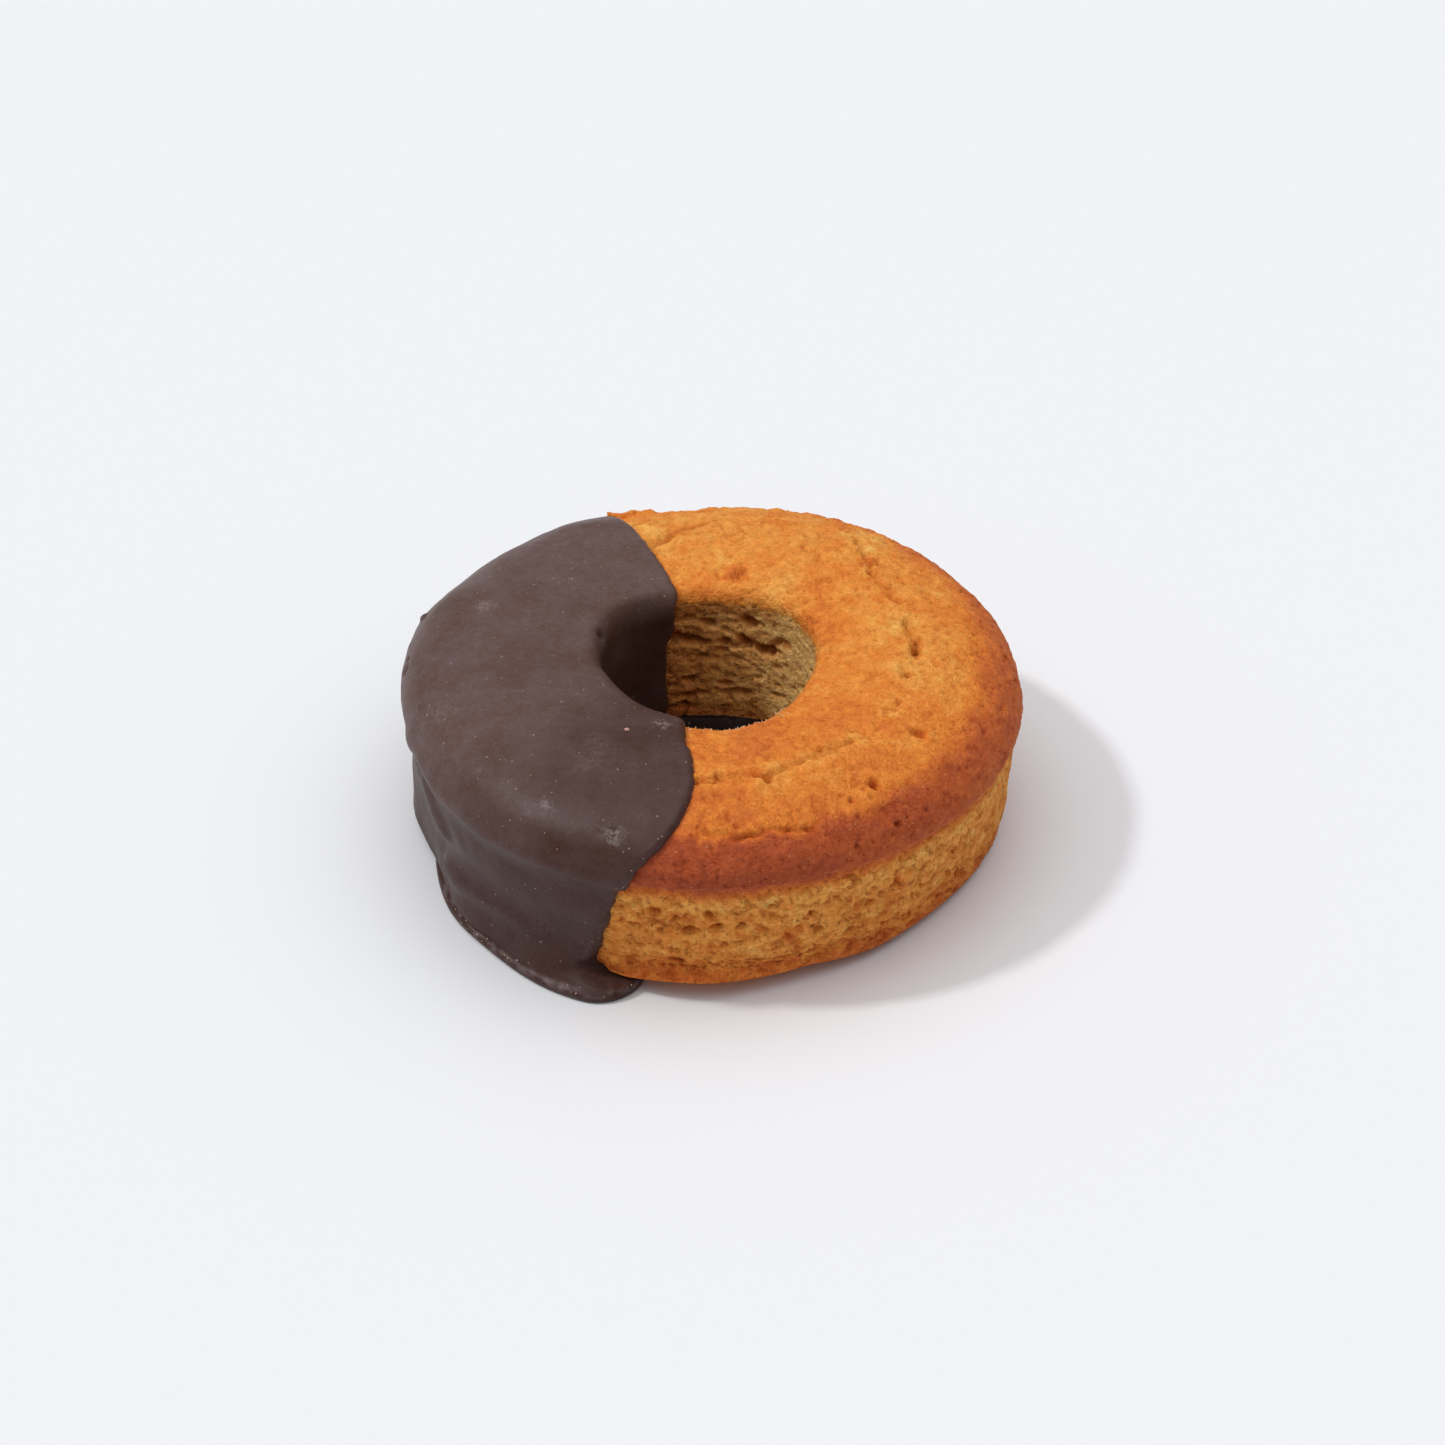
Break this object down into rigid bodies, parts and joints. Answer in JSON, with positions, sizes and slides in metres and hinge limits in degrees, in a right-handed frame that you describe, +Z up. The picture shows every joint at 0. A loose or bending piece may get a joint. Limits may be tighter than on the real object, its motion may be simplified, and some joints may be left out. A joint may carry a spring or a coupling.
{
  "type": "half-dipped chocolate doughnut",
  "caption": "Baked ring doughnut with a domed golden crust and open crumb, its left side dipped in dark chocolate that spreads in a thin foot and closes the bottom of the hole.",
  "frame": {"origin": "centre of the bounding box on the surface that the doughnut lies on", "axes": "+Z up through the hole, -X towards the dipped side, -Y towards the viewer"},
  "size_m": [0.0792, 0.08, 0.0274],
  "materials": {
    "cake": "dry baked crust, golden orange on top and browned at the rim, with paler porous crumb on the side and in the hole",
    "chocolate": "set dark chocolate with a satin, slightly dusty surface"
  },
  "bodies": {
    "root": {"cake": "cake", "chocolate": "chocolate"}
  },
  "joints": []
}
